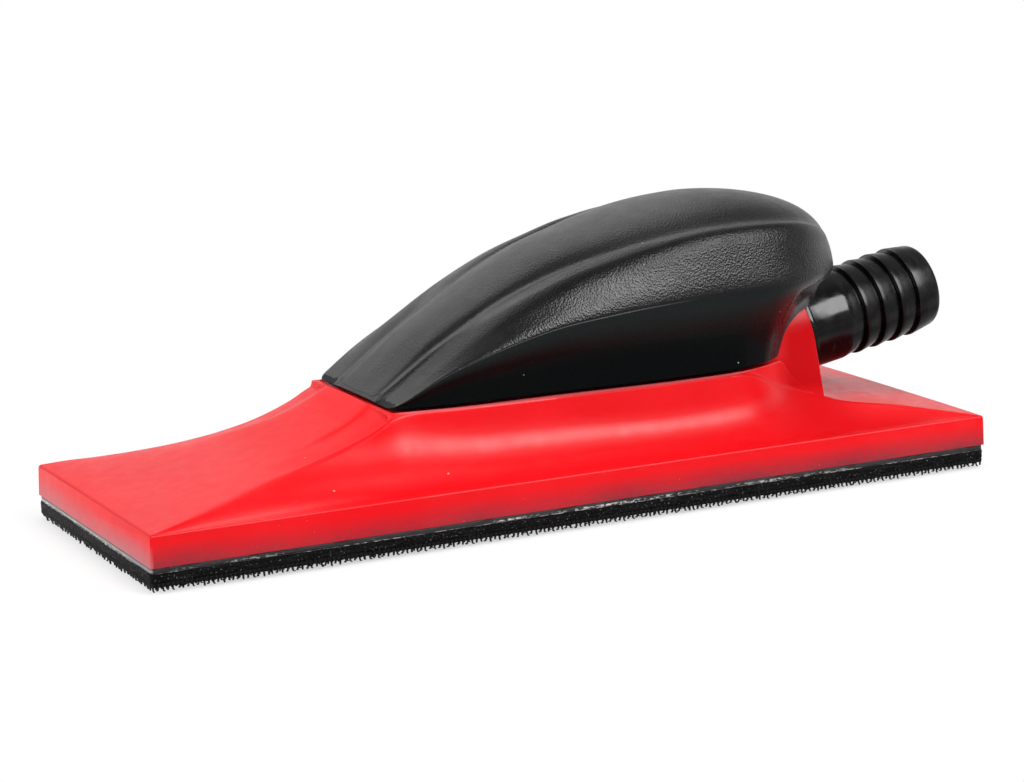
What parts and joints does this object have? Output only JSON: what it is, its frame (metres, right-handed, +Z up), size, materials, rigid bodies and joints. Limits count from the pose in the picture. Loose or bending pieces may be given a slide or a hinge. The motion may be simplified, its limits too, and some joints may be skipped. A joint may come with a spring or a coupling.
{
  "type": "sanding block",
  "caption": "Long hand sanding block for hook-backed strips: flat padded base, teardrop hand grip and a swivelling barbed hose connector for dust extraction.",
  "frame": {"origin": "middle of the hook face that holds the abrasive strip, at the hook tips", "axes": "+X along the block towards the hose connector, +Y across it, +Z up from the working face to the grip"},
  "size_m": [0.2057, 0.0706, 0.0631],
  "materials": {
    "red_plastic": "satin moulded",
    "black_grained_plastic": "satin, fine grained",
    "black_gloss_plastic": "gloss moulded",
    "zinc_steel": "zinc plated",
    "spring_steel": "phosphated",
    "seal_rubber": "matt",
    "glue": "dried contact glue",
    "dark_plate": "matt sheet",
    "foam": "fine closed-cell foam",
    "hook_nylon": "woven tape with nylon hooks"
  },
  "bodies": {
    "block": {"base_body": "red_plastic", "grip_shell": "black_grained_plastic", "grip_screws": "zinc_steel", "plate_glue_film": "glue", "backing_plate": "dark_plate", "foam_glue_film": "glue", "foam_pad": "foam", "hook_tape": "hook_nylon"},
    "connector": {"hose_connector": "black_gloss_plastic", "connector_seal": "seal_rubber", "connector_retaining_ring": "spring_steel"}
  },
  "joints": [
    {"name": "connector_swivel", "type": "hinge", "parent": "block", "child": "connector", "pos_m": [0.085, 0, 0.03207], "axis": [0.9836, 0, 0.1805], "continuous": true}
  ]
}
